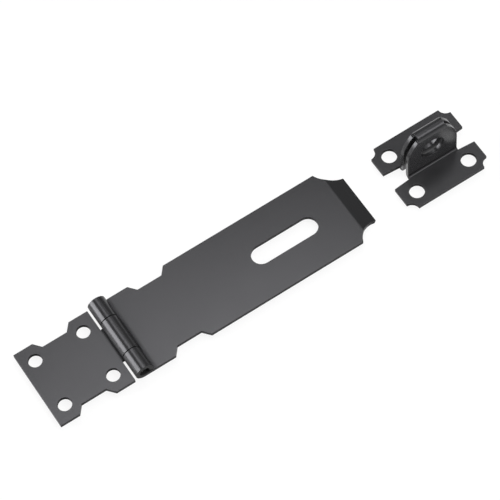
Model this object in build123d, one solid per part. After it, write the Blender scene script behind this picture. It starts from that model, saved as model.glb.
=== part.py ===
from build123d import *
from math import cos, radians, sin, sqrt, tan
import os

# Safety hasp of folded steel sheet: a screw-down leaf, a slotted strap that turns on it,
# the pin between them and the separate staple that the strap drops over.
# The origin is the middle of the leaf's screw holes, on the mounting surface z = 0.
# The strap is opened flat towards +X, and the pin runs along Y.

# Hasp sheet
SHEET = 1.8
WIDTH = 38.0
CORNER_ROUND = 0.3

# Barrel
PIN_DIAMETER = 4.5
PIN_CLEARANCE = 0.05
PIN_RECESS = 1.2
PIN_CHAMFER = 0.4
CENTRE_KNUCKLE = 17.0
KNUCKLE_GAP = 0.4
CURL_END_ANGLE = -25.0
EDGE_SETBACK = 0.6

# Waist notches, alike on both long edges of the leaf and of the strap
NOTCH_MOUTH = 17.4
NOTCH_FLOOR = 11.6
NOTCH_DEPTH = 3.5

# Leaf
LEAF_LENGTH = 35.5
LEAF_HOLE = 6.0
LEAF_HOLE_PITCH_X = 23.0
LEAF_HOLE_PITCH_Y = 23.6

# Strap, with its places along X measured from the pin's axis
STRAP_NOTCH_CENTRE = 23.4
SLOT_CENTRE = 80.1
STRAP_BEND = 109.2
SLOT_LENGTH = 31.9
SLOT_WIDTH = 9.0
LIP_LENGTH = 7.6
LIP_ANGLE = 25.0
LIP_BEND_RADIUS = 1.5
LIP_WIDTH = 24.6
SCALLOP_LENGTH = 10.8
SCALLOP_RADIUS = 10.5

# Staple, with its middle measured from the pin's axis
STAPLE_DISTANCE = 151.6
STAPLE_OFFSET = -1.8
STAPLE_SHEET = 1.8
STAPLE_LENGTH = 40.6
STAPLE_DEPTH = 33.9
STAPLE_CORNER = 3.7
STAPLE_WAIST_TAPER = 0.6
STAPLE_HOLE = 6.7
STAPLE_HOLE_PITCH_X = 26.3
STAPLE_HOLE_PITCH_Y = 20.5
LOOP_HEIGHT = 27.0
LOOP_WIDTH = 24.8
LOOP_GAP = 1.8
LOOP_FOLD_LENGTH = 13.4
LOOP_SHOULDER_HEIGHT = 12.2
LOOP_SHOULDER_RADIUS = 17.3
LOOP_BEND_RADIUS = 1.0
EYE_DIAMETER = 11.4
EYE_HEIGHT = 14.4

# Worked out from the sizes above
HALF_WIDTH = WIDTH / 2
MID_SHEET = SHEET / 2
BORE_RADIUS = PIN_DIAMETER / 2 + PIN_CLEARANCE
BARREL_RADIUS = BORE_RADIUS + SHEET
PLATE_EDGE = BARREL_RADIUS + EDGE_SETBACK
PIN_X = PLATE_EDGE + LEAF_LENGTH / 2
OUTER_KNUCKLE = HALF_WIDTH - CENTRE_KNUCKLE / 2 - KNUCKLE_GAP
LIP_DROP = radians(LIP_ANGLE)
STRAP_REACH = STRAP_BEND + (LIP_BEND_RADIUS + SHEET) * sin(LIP_DROP) + LIP_LENGTH * cos(LIP_DROP)
LOOP_HALF = LOOP_GAP / 2 + STAPLE_SHEET
FOLD_START = LOOP_HEIGHT - LOOP_HALF


def rectangle_between(x_low, x_high, y_low, y_high):
    """A flat rectangle given by its four sides."""
    centre = Pos((x_low + x_high) / 2, (y_low + y_high) / 2)
    return centre * Rectangle(x_high - x_low, y_high - y_low)


def along_pin(section, y_high, length):
    """Extrude a section of the XZ plane, whose origin is under the pin, from y_high towards -Y."""
    return extrude(Plane((PIN_X, y_high, 0), (1, 0, 0), (0, -1, 0)) * section, amount=length)


def both_sides(shape):
    """A flat shape and its mirror image across the long axis."""
    return shape + mirror(shape, about=Plane.XZ)


def curl_section():
    """Side view of a knuckle whose sheet runs in from the plate at +X, then rolls up and over the pin."""
    far = 2 * BARREL_RADIUS
    mouth = Polygon((0, 0), (0, -far), (far, -far), (far, far * tan(radians(CURL_END_ANGLE))), align=None)
    ring = Circle(BARREL_RADIUS) - Circle(BORE_RADIUS) - mouth
    return Pos(0, BARREL_RADIUS) * ring + rectangle_between(0, PLATE_EDGE, 0, SHEET)


def waist_notches(centre):
    """The pair of trapezoid notches in the long edges."""
    return both_sides(Polygon(
        (centre - NOTCH_MOUTH / 2, HALF_WIDTH),
        (centre - NOTCH_FLOOR / 2, HALF_WIDTH - NOTCH_DEPTH),
        (centre + NOTCH_FLOOR / 2, HALF_WIDTH - NOTCH_DEPTH),
        (centre + NOTCH_MOUTH / 2, HALF_WIDTH),
        align=None,
    ))


def screw_holes(pitch_x, pitch_y, diameter):
    """Four holes at the corners of a rectangle about the origin."""
    return Sketch() + GridLocations(pitch_x, pitch_y, 2, 2) * Circle(diameter / 2)


def hinge_leaf():
    """Near-square leaf with its screw holes, and the barrel's centre knuckle."""
    outline = Rectangle(LEAF_LENGTH, WIDTH) - waist_notches(0)
    outline = fillet(outline.vertices(), CORNER_ROUND)
    outline -= screw_holes(LEAF_HOLE_PITCH_X, LEAF_HOLE_PITCH_Y, LEAF_HOLE)
    curl = mirror(curl_section(), about=Plane.YZ)
    knuckle = along_pin(curl, CENTRE_KNUCKLE / 2, CENTRE_KNUCKLE)
    return extrude(outline, amount=SHEET) + knuckle


def scallops():
    """Round hollows that take off the two corners beside the lip."""
    side_x, side_y = PIN_X + STRAP_REACH - SCALLOP_LENGTH, HALF_WIDTH
    end_x, end_y = PIN_X + STRAP_REACH, LIP_WIDTH / 2
    chord = sqrt((end_x - side_x) ** 2 + (side_y - end_y) ** 2)
    rise = sqrt(SCALLOP_RADIUS ** 2 - (chord / 2) ** 2)
    centre_x = (side_x + end_x) / 2 + rise * (side_y - end_y) / chord
    centre_y = (side_y + end_y) / 2 + rise * (end_x - side_x) / chord
    return both_sides(Pos(centre_x, centre_y) * Circle(SCALLOP_RADIUS))


def strap_outline():
    """Plan of the strap from the barrel to the end of its lip."""
    outline = rectangle_between(PIN_X + PLATE_EDGE, PIN_X + STRAP_REACH, -HALF_WIDTH, HALF_WIDTH)
    outline -= waist_notches(PIN_X + STRAP_NOTCH_CENTRE)
    outline -= scallops()
    outline = fillet(outline.vertices(), CORNER_ROUND)
    return outline - Pos(PIN_X + SLOT_CENTRE, 0) * SlotOverall(SLOT_LENGTH, SLOT_WIDTH)


def strap_section():
    """Side view of the strap's sheet from the barrel to the end of its turned-down lip."""
    flat = Line((PLATE_EDGE, MID_SHEET), (STRAP_BEND, MID_SHEET))
    bend = CenterArc((STRAP_BEND, -LIP_BEND_RADIUS), LIP_BEND_RADIUS + MID_SHEET, 90, -LIP_ANGLE)
    lip = Line(bend @ 1, bend @ 1 + LIP_LENGTH * (bend % 1))
    return trace(flat + bend + lip, SHEET)


def hasp_strap():
    """Long strap with the two outer knuckles, waist notches, slot and turned-down lip."""
    strap = along_pin(strap_section(), HALF_WIDTH, WIDTH)
    strap &= extrude(strap_outline(), amount=SHEET + LIP_LENGTH, both=True)
    strap += along_pin(curl_section(), HALF_WIDTH, OUTER_KNUCKLE)
    strap += along_pin(curl_section(), OUTER_KNUCKLE - HALF_WIDTH, OUTER_KNUCKLE)
    return strap


def hinge_pin():
    """Plain pin, a little shorter than the barrel, with chamfered ends."""
    length = WIDTH - 2 * PIN_RECESS
    pin = Rot(90, 0, 0) * Cylinder(PIN_DIAMETER / 2, length)
    pin = chamfer(pin.edges().filter_by(GeomType.CIRCLE), PIN_CHAMFER)
    return Pos(PIN_X, 0, BARREL_RADIUS) * pin


def flange_outline():
    """Plan of the staple's front flange: screw corners hollowed, waist sloping in to the loop."""
    root_y = LOOP_HALF + LOOP_BEND_RADIUS
    half_length = STAPLE_LENGTH / 2
    outline = Polygon(
        (-half_length, -STAPLE_DEPTH / 2),
        (half_length, -STAPLE_DEPTH / 2),
        (half_length, -root_y - STAPLE_WAIST_TAPER),
        (LOOP_WIDTH / 2, -root_y),
        (-LOOP_WIDTH / 2, -root_y),
        (-half_length, -root_y - STAPLE_WAIST_TAPER),
        align=None,
    )
    corner = Circle(STAPLE_CORNER)
    outline -= Pos(-half_length, -STAPLE_DEPTH / 2) * corner
    outline -= Pos(half_length, -STAPLE_DEPTH / 2) * corner
    return outline


def loop_section():
    """End view of the loop's sheet: up from one flange, over the fold and down to the other."""
    mid_sheet = STAPLE_SHEET / 2
    bend = LOOP_BEND_RADIUS + mid_sheet
    wall_y = LOOP_GAP / 2 + mid_sheet
    wall_low = STAPLE_SHEET + LOOP_BEND_RADIUS
    foot = CenterArc((wall_y + bend, wall_low), bend, 180, 90)
    wall = Line((wall_y, wall_low), (wall_y, FOLD_START))
    half = trace(foot + wall, STAPLE_SHEET)
    fold = trace(CenterArc((0, FOLD_START), wall_y, 0, 180), STAPLE_SHEET)
    return half + mirror(half, about=Plane.YZ) + fold


def loop_outline():
    """Front view of the loop: straight sides, arched shoulders and the narrower fold on top."""
    swing = LOOP_SHOULDER_RADIUS - LOOP_WIDTH / 2
    arch = Pos(swing, LOOP_SHOULDER_HEIGHT) * Circle(LOOP_SHOULDER_RADIUS)
    arch &= Pos(-swing, LOOP_SHOULDER_HEIGHT) * Circle(LOOP_SHOULDER_RADIUS)
    arch &= rectangle_between(-LOOP_WIDTH / 2, LOOP_WIDTH / 2, LOOP_SHOULDER_HEIGHT, FOLD_START)
    walls = rectangle_between(-LOOP_WIDTH / 2, LOOP_WIDTH / 2, 0, LOOP_SHOULDER_HEIGHT) + arch
    fold = rectangle_between(-LOOP_FOLD_LENGTH / 2, LOOP_FOLD_LENGTH / 2, 0, LOOP_HEIGHT)
    return walls + fold - Pos(0, EYE_HEIGHT) * Circle(EYE_DIAMETER / 2)


def staple():
    """One folded sheet: two screw flanges and the doubled loop with the padlock eye."""
    loop = extrude(Plane.YZ * loop_section(), amount=LOOP_WIDTH / 2, both=True)
    loop &= extrude(Plane.XZ * loop_outline(), amount=STAPLE_DEPTH, both=True)
    flanges = both_sides(flange_outline())
    flanges -= screw_holes(STAPLE_HOLE_PITCH_X, STAPLE_HOLE_PITCH_Y, STAPLE_HOLE)
    body = loop + extrude(flanges, amount=STAPLE_SHEET)
    return Pos(PIN_X + STAPLE_DISTANCE, STAPLE_OFFSET, 0) * body


NODES = {
    "hinge_leaf": hinge_leaf(),
    "hasp_strap": hasp_strap(),
    "hinge_pin": hinge_pin(),
    "staple": staple(),
}

os.makedirs("parts", exist_ok=True)
for name, shape in NODES.items():
    export_step(shape, f"parts/{name}.step")
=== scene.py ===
import math

import bpy
from bpy.props import FloatProperty, FloatVectorProperty, PointerProperty
from bpy.types import Operator, Panel, PropertyGroup
from mathutils import Matrix, Vector


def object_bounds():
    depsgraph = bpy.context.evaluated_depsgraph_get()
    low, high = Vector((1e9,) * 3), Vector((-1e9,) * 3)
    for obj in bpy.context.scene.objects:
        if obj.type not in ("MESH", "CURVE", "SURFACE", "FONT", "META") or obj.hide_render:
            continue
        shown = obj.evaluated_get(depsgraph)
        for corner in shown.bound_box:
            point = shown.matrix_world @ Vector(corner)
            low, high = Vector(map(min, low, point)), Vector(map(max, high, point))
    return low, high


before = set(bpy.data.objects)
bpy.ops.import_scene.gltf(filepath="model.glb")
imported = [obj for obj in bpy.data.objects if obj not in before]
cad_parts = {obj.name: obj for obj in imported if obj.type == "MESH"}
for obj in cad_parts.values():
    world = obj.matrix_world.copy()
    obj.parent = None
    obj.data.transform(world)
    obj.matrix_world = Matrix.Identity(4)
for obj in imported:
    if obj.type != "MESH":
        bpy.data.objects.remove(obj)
cad_low, cad_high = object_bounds()

bl_info = {
    "name": "Safety hasp",
    "version": (1, 0, 0),
    "blender": (4, 5, 0),
    "location": "View3D > Sidebar > Hasp",
    "description": "Finishes the sheet steel of a safety hasp and sets up its studio",
    "category": "Object",
}

# The stage, in metres. Each panel hangs at its place and faces the point it aims at
STAGE_CENTRE = ((cad_low[0] + cad_high[0]) / 2, 0.0, 0.0)
FLOOR_SIZE = 30.0
FLOOR_GAP = 0.00025
FLOOR_ROUGHNESS = 0.9
PANELS = (
    {"name": "side", "place": (-0.70, 0.42, 0.42), "aim": STAGE_CENTRE, "size": (0.30, 0.76)},
    {"name": "top", "place": (0.14, -0.21, 0.60), "aim": (0.14, -0.21, 0.0), "size": (0.32, 0.98)},
    {"name": "far", "place": (0.10, 0.35, 0.60), "aim": (0.10, 0.35, 0.0), "size": (0.20, 0.10)},
    {"name": "end", "place": (0.45, 0.30, 0.60), "aim": (0.45, 0.30, 0.0), "size": (0.10, 0.20)},
    {"name": "front", "place": (0.47, -0.42, 0.58), "aim": (0.17, 0.0, 0.01), "size": (0.26, 0.40)},
)

# The pale band at the horizon: how steep a direction is where the band ends and the room begins
BAND_END = 0.07
ROOM_START = 0.13

# The camera: its place and range in metres, its lens and sensor in millimetres,
# and the directions that are right, up and backwards in the picture
CAMERA_PLACE = (-0.12681, -0.43146, 0.91729)
CAMERA_RIGHT = (0.83758, -0.54282, -0.06167)
CAMERA_UP = (0.50536, 0.72697, 0.46489)
CAMERA_BACK = (-0.20752, -0.42055, 0.88322)
CAMERA_LENS = 180.0
CAMERA_SENSOR = 36.0
CAMERA_RANGE = (0.05, 60.0)

# Coating: how strongly it shines and the tint of that shine. The edge share is painted shade: the
# share of shine left on sheared edges and hole walls, which darkens them where shade falls
SHEEN = 0.41
SHEEN_TINT = (0.955, 0.95, 1.0, 1.0)
SHADED_EDGE_SHARE = 0.12

# Coating: wide clouds that drift its roughness down and up, and the fine grain of its bump
CLOUDS = {"scale": 60.0, "detail": 4.0}
CLOUD_DRIFT = (0.03, 0.05)
GRAIN = {"scale": 900.0, "detail": 3.0}
GRAIN_STRENGTH = 0.12

# Painted shade in narrow places: their shine is cut where walls shut them in, which darkens crevices,
# holes and the pin's end where shade falls. How far off their walls count, in metres, and which share
# of open space counts as shut and as open
CREVICE = {"reach": 0.0015, "shut": 0.3, "open": 0.9}
# STRAP_ROOT reaches further and paints the barrel's shadow on the strap beside it
STRAP_ROOT = {"reach": 0.0028, "shut": 0.6, "open": 1.0}
PIN_END = {"reach": 0.0003, "shut": 0.3, "open": 0.9}
HOLE = {"reach": 0.006, "shut": 0.8, "open": 0.95}
OPENNESS_SAMPLES = 8

# Sheared edges, which get painted shade: below the top of the flat sheet, in metres, a face counts as
# one when less than UPRIGHT_SHARE of its normal is along Z. An end face has more than END_SHARE of it
# along Y
SHEET = 0.0018
SHEET_SLACK = 0.00002
UPRIGHT_SHARE = 0.85
END_SHARE = 0.9

# Edge rounding: how near two points count as one, in metres, how far a flat may turn,
# how far the faces at an edge turn before it is rounded, and in how many steps it is
WELD_REACH = 0.00001
FLAT_ANGLE = math.radians(0.5)
EDGE_ANGLE = math.radians(35)
EDGE_SEGMENTS = 2


class HaspFinish(PropertyGroup):
    """Finish of the steel parts."""

    coat_colour: FloatVectorProperty(
        name="Coat colour",
        description="Colour of the black coating on the leaf, the strap and the staple",
        subtype="COLOR", size=4, min=0.0, max=1.0, default=(0.017, 0.017, 0.0175, 1.0),
    )
    coat_roughness: FloatProperty(
        name="Coat roughness",
        description="Roughness of the coating, low for gloss and high for matt",
        subtype="FACTOR", min=0.0, max=1.0, default=0.23,
    )
    pin_colour: FloatVectorProperty(
        name="Pin colour",
        description="Colour of the hinge pin",
        subtype="COLOR", size=4, min=0.0, max=1.0, default=(0.022, 0.022, 0.0225, 1.0),
    )
    pin_roughness: FloatProperty(
        name="Pin roughness",
        description="Roughness of the hinge pin",
        subtype="FACTOR", min=0.0, max=1.0, default=0.22,
    )
    grain: FloatProperty(
        name="Coat grain",
        description="Height of the coating's fine grain",
        subtype="DISTANCE", unit="LENGTH", min=0.0, max=0.001, default=0.00005, precision=6,
    )
    edge_round: FloatProperty(
        name="Edge rounding",
        description="How far the sheared edges are broken by the coating",
        subtype="DISTANCE", unit="LENGTH", min=0.0, max=0.001, default=0.00025, precision=5,
    )


class HaspStudio(PropertyGroup):
    """Floor, surroundings and lamps."""

    floor_colour: FloatVectorProperty(
        name="Floor colour",
        description="Colour of the floor under the hasp",
        subtype="COLOR", size=4, min=0.0, max=1.0, default=(0.9, 0.9, 0.9, 1.0),
    )
    floor_glow: FloatProperty(
        name="Floor whiteness",
        description="Share of the floor's look that is plain white instead of lit floor",
        subtype="FACTOR", min=0.0, max=1.0, default=0.88,
    )
    floor_height: FloatProperty(
        name="Floor height",
        description="Height of the floor, just below the lowest edge of the hasp",
        subtype="DISTANCE", unit="LENGTH", default=cad_low[2] - FLOOR_GAP, precision=5,
    )
    horizon_colour: FloatVectorProperty(
        name="Horizon colour",
        description="Colour of the surroundings at eye level",
        subtype="COLOR", size=4, min=0.0, max=1.0, default=(1.0, 1.0, 1.0, 1.0),
    )
    room_colour: FloatVectorProperty(
        name="Room colour",
        description="Colour of the dim room above the horizon",
        subtype="COLOR", size=4, min=0.0, max=1.0, default=(0.16, 0.16, 0.163, 1.0),
    )
    side: FloatProperty(
        name="Side panel",
        description="Brightness of the tall panel beyond the leaf's end",
        min=0.0, default=10.5,
    )
    top: FloatProperty(
        name="Top panel",
        description="Brightness of the large panel overhead",
        min=0.0, default=4.75,
    )
    far: FloatProperty(
        name="Far panel",
        description="Brightness of the small panel overhead behind the leaf",
        min=0.0, default=2.0,
    )
    end: FloatProperty(
        name="End panel",
        description="Brightness of the small panel overhead beyond the staple",
        min=0.0, default=2.4,
    )
    front: FloatProperty(
        name="Front panel",
        description="Brightness of the panel in front of the staple",
        min=0.0, default=4.4,
    )


def feed(tree, socket, value):
    """Sets a socket to a plain number, or links it to another socket."""
    if isinstance(value, float):
        socket.default_value = value
    else:
        tree.links.new(value, socket)


def math_node(tree, operation, *values):
    """A maths node on sockets or plain numbers."""
    node = tree.nodes.new("ShaderNodeMath")
    node.operation = operation
    for socket, value in zip(node.inputs, values):
        feed(tree, socket, value)
    return node.outputs["Value"]


def map_range(tree, value, start=(0.0, 1.0), end=(0.0, 1.0)):
    """Carries a value over from the range start to the range end, whose limits may be sockets."""
    node = tree.nodes.new("ShaderNodeMapRange")
    feed(tree, node.inputs["Value"], value)
    for name, limit in zip(("From Min", "From Max", "To Min", "To Max"), start + end):
        feed(tree, node.inputs[name], limit)
    return node.outputs["Result"]


def noise(tree, coords, pattern):
    """Noise that sits on the piece."""
    node = tree.nodes.new("ShaderNodeTexNoise")
    node.inputs["Scale"].default_value = pattern["scale"]
    node.inputs["Detail"].default_value = pattern["detail"]
    tree.links.new(coords.outputs["Object"], node.inputs["Vector"])
    return node.outputs["Fac"]


def openness(tree, place, own_walls, most):
    """From 0 where a narrow place is shut to most where it is open, by all walls or its own alone; it
    sets painted shade.
    """
    node = tree.nodes.new("ShaderNodeAmbientOcclusion")
    node.samples = OPENNESS_SAMPLES
    node.only_local = own_walls
    node.inputs["Distance"].default_value = place["reach"]
    return map_range(tree, node.outputs["AO"], (place["shut"], place["open"]), (0.0, most))


def sheared_edges(tree, coords, ends):
    """Mask of painted shade: 1 on the cut edges of the flat sheet, and with ends on the faces that
    point along Y too.
    """
    place = tree.nodes.new("ShaderNodeSeparateXYZ")
    facing = tree.nodes.new("ShaderNodeSeparateXYZ")
    tree.links.new(coords.outputs["Object"], place.inputs["Vector"])
    tree.links.new(coords.outputs["Normal"], facing.inputs["Vector"])
    upright = math_node(tree, "ABSOLUTE", facing.outputs["Z"])
    turned = math_node(tree, "LESS_THAN", upright, UPRIGHT_SHARE)
    low = math_node(tree, "LESS_THAN", place.outputs["Z"], SHEET + SHEET_SLACK)
    cut = math_node(tree, "MULTIPLY", turned, low)
    if ends:
        sideways = math_node(tree, "ABSOLUTE", facing.outputs["Y"])
        end_face = math_node(tree, "GREATER_THAN", sideways, END_SHARE)
        cut = math_node(tree, "MAXIMUM", cut, end_face)
    return cut


def surface_material(name, colour, roughness, grain, crevice, ends):
    """Coated steel: dark and satin, with a fine grain, and with painted shade: less shine on cut
    edges, in holes and in crevices, where shade falls.
    """
    mat = bpy.data.materials.new(name)
    mat.use_nodes = True
    tree = mat.node_tree
    bsdf = tree.nodes["Principled BSDF"]
    bsdf.inputs["Base Color"].default_value = colour
    bsdf.inputs["Roughness"].default_value = roughness
    bsdf.inputs["Specular IOR Level"].default_value = SHEEN
    bsdf.inputs["Specular Tint"].default_value = SHEEN_TINT
    coords = tree.nodes.new("ShaderNodeTexCoord")

    smoother, rougher = CLOUD_DRIFT
    drift = (roughness - smoother, roughness + rougher)
    gloss = map_range(tree, noise(tree, coords, CLOUDS), end=drift)
    tree.links.new(gloss, bsdf.inputs["Roughness"])

    bump = tree.nodes.new("ShaderNodeBump")
    bump.inputs["Strength"].default_value = GRAIN_STRENGTH
    bump.inputs["Distance"].default_value = grain
    tree.links.new(noise(tree, coords, GRAIN), bump.inputs["Height"])
    tree.links.new(bump.outputs["Normal"], bsdf.inputs["Normal"])

    # Painted shade: the shine is cut on sheared edges, more on hole walls, and in crevices by how
    # shut in they are
    hole_shade = openness(tree, HOLE, True, SHEEN * SHADED_EDGE_SHARE)
    edge_shade = map_range(tree, sheared_edges(tree, coords, ends), end=(SHEEN, hole_shade))
    shaded_sheen = math_node(tree, "MULTIPLY", openness(tree, crevice, False, 1.0), edge_shade)
    tree.links.new(shaded_sheen, bsdf.inputs["Specular IOR Level"])
    return mat


def break_edges(node, width):
    """Cleans the flats of a solid and rounds its sheared edges a little."""
    weld = node.modifiers.new("Weld", "WELD")
    weld.merge_threshold = WELD_REACH
    flats = node.modifiers.new("Flats", "DECIMATE")
    flats.decimate_type = "DISSOLVE"
    flats.angle_limit = FLAT_ANGLE
    bevel = node.modifiers.new("Edges", "BEVEL")
    bevel.width = width
    bevel.segments = EDGE_SEGMENTS
    bevel.limit_method = "ANGLE"
    bevel.angle_limit = EDGE_ANGLE
    bevel.harden_normals = True
    even = node.modifiers.new("Even shading", "WEIGHTED_NORMAL")
    even.keep_sharp = True


def dress(name, mat, width):
    """Gives a solid of the hasp its finish and its broken edges."""
    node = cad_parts[name]
    for slot in node.material_slots:
        slot.material = mat
    break_edges(node, width)


def coat_sheet(context, name, coat_name, crevice, ends):
    """Dresses a piece of sheet steel in the black coating, as the panel sets it."""
    finish = context.scene.hasp_finish
    mat = surface_material(
        coat_name, finish.coat_colour, finish.coat_roughness, finish.grain, crevice, ends
    )
    dress(name, mat, finish.edge_round)


class HASP_OT_leaf(Operator):
    """Finish the hinge leaf and its knuckle"""

    bl_idname = "hasp.leaf"
    bl_label = "Hinge leaf"

    def execute(self, context):
        coat_sheet(context, "hinge_leaf", "leaf_coat", CREVICE, True)
        return {"FINISHED"}


class HASP_OT_strap(Operator):
    """Finish the long strap with its two knuckles, slot and lip"""

    bl_idname = "hasp.strap"
    bl_label = "Hasp strap"

    def execute(self, context):
        coat_sheet(context, "hasp_strap", "strap_coat", STRAP_ROOT, True)
        return {"FINISHED"}


class HASP_OT_pin(Operator):
    """Finish the hinge pin"""

    bl_idname = "hasp.pin"
    bl_label = "Hinge pin"

    def execute(self, context):
        finish = context.scene.hasp_finish
        mat = surface_material(
            "pin_coat", finish.pin_colour, finish.pin_roughness, finish.grain, PIN_END, False
        )
        dress("hinge_pin", mat, finish.edge_round)
        return {"FINISHED"}


class HASP_OT_staple(Operator):
    """Finish the staple with its flanges and padlock loop"""

    bl_idname = "hasp.staple"
    bl_label = "Staple"

    def execute(self, context):
        coat_sheet(context, "staple", "staple_coat", CREVICE, False)
        return {"FINISHED"}


def floor_material(studio):
    """White floor that looks evenly pale and still takes the hasp's shadow."""
    mat = bpy.data.materials.new("floor_white")
    mat.use_nodes = True
    tree = mat.node_tree
    bsdf = tree.nodes["Principled BSDF"]
    bsdf.inputs["Base Color"].default_value = studio.floor_colour
    bsdf.inputs["Roughness"].default_value = FLOOR_ROUGHNESS
    bsdf.inputs["Specular IOR Level"].default_value = 0.0
    path = tree.nodes.new("ShaderNodeLightPath")
    seen = path.outputs["Is Camera Ray"]
    for ray in ("Is Glossy Ray", "Is Transmission Ray"):
        seen = math_node(tree, "MAXIMUM", seen, path.outputs[ray])
    glow = tree.nodes.new("ShaderNodeEmission")
    mix = tree.nodes.new("ShaderNodeMixShader")
    tree.links.new(math_node(tree, "MULTIPLY", seen, studio.floor_glow), mix.inputs["Fac"])
    tree.links.new(bsdf.outputs["BSDF"], mix.inputs[1])
    tree.links.new(glow.outputs["Emission"], mix.inputs[2])
    tree.links.new(mix.outputs["Shader"], tree.nodes["Material Output"].inputs["Surface"])
    return mat


def lay_floor(studio):
    """A wide floor just below the hasp."""
    x, y, _ = STAGE_CENTRE
    bpy.ops.mesh.primitive_plane_add(size=FLOOR_SIZE, location=(x, y, studio.floor_height))
    floor = bpy.context.active_object
    floor.name = "floor"
    floor.data.materials.append(floor_material(studio))


def set_surroundings(scene, studio):
    """A dim room with a pale band at the horizon, chosen by direction alone."""
    world = bpy.data.worlds.new("Room")
    scene.world = world
    world.use_nodes = True
    tree = world.node_tree
    coords = tree.nodes.new("ShaderNodeTexCoord")
    split = tree.nodes.new("ShaderNodeSeparateXYZ")
    ramp = tree.nodes.new("ShaderNodeValToRGB")
    near, far = ramp.color_ramp.elements
    near.position, near.color = BAND_END, studio.horizon_colour
    far.position, far.color = ROOM_START, studio.room_colour
    tree.links.new(coords.outputs["Generated"], split.inputs["Vector"])
    tree.links.new(math_node(tree, "ABSOLUTE", split.outputs["Z"]), ramp.inputs["Fac"])
    tree.links.new(ramp.outputs["Color"], tree.nodes["Background"].inputs["Color"])


def hang_panel(scene, panel, level):
    """A rectangular soft lamp that faces the hasp. level is its brightness as a surface."""
    place = Vector(panel["place"])
    facing = Vector(panel["aim"]) - place
    width, height = panel["size"]
    lamp = bpy.data.lights.new(panel["name"] + "_panel", "AREA")
    lamp.shape = "RECTANGLE"
    lamp.size = width
    lamp.size_y = height
    lamp.energy = level * math.pi * width * height
    holder = bpy.data.objects.new(lamp.name, lamp)
    scene.collection.objects.link(holder)
    holder.location = place
    holder.rotation_euler = facing.to_track_quat("-Z", "Y").to_euler()


def place_camera(scene):
    """The camera at the photograph's viewing angle."""
    lens = bpy.data.cameras.new("camera")
    lens.sensor_width = CAMERA_SENSOR
    lens.lens = CAMERA_LENS
    lens.clip_start, lens.clip_end = CAMERA_RANGE
    camera = bpy.data.objects.new("camera", lens)
    scene.collection.objects.link(camera)
    turn = Matrix((CAMERA_RIGHT, CAMERA_UP, CAMERA_BACK)).transposed().to_4x4()
    camera.matrix_world = Matrix.Translation(CAMERA_PLACE) @ turn
    scene.camera = camera


class HASP_OT_studio(Operator):
    """Set up the floor, surroundings, lamps and camera"""

    bl_idname = "hasp.studio"
    bl_label = "Studio"

    def execute(self, context):
        scene = context.scene
        studio = scene.hasp_studio
        scene.view_settings.view_transform = "Standard"
        set_surroundings(scene, studio)
        lay_floor(studio)
        for panel in PANELS:
            hang_panel(scene, panel, getattr(studio, panel["name"]))
        place_camera(scene)
        return {"FINISHED"}


class HASP_PT_main(Panel):
    """Steps of the hasp's look, in order"""

    bl_idname = "HASP_PT_main"
    bl_label = "Safety hasp"
    bl_space_type = "VIEW_3D"
    bl_region_type = "UI"
    bl_category = "Hasp"

    def draw(self, context):
        finish = context.scene.hasp_finish
        studio = context.scene.hasp_studio
        for group, steps in ((finish, PIECES), (studio, STAGE)):
            box = self.layout.box()
            for name in group.bl_rna.properties.keys():
                if name not in ("rna_type", "name"):
                    box.prop(group, name)
            for step in steps:
                box.operator(step.bl_idname)


PIECES = (HASP_OT_leaf, HASP_OT_strap, HASP_OT_pin, HASP_OT_staple)
STAGE = (HASP_OT_studio,)
CLASSES = (HaspFinish, HaspStudio) + PIECES + STAGE + (HASP_PT_main,)


def register():
    for cls in CLASSES:
        bpy.utils.register_class(cls)
    bpy.types.Scene.hasp_finish = PointerProperty(type=HaspFinish)
    bpy.types.Scene.hasp_studio = PointerProperty(type=HaspStudio)


def unregister():
    del bpy.types.Scene.hasp_studio
    del bpy.types.Scene.hasp_finish
    for cls in reversed(CLASSES):
        bpy.utils.unregister_class(cls)


def main():
    register()
    bpy.ops.hasp.leaf()
    bpy.ops.hasp.strap()
    bpy.ops.hasp.pin()
    bpy.ops.hasp.staple()
    bpy.ops.hasp.studio()


if __name__ == "__main__":
    main()
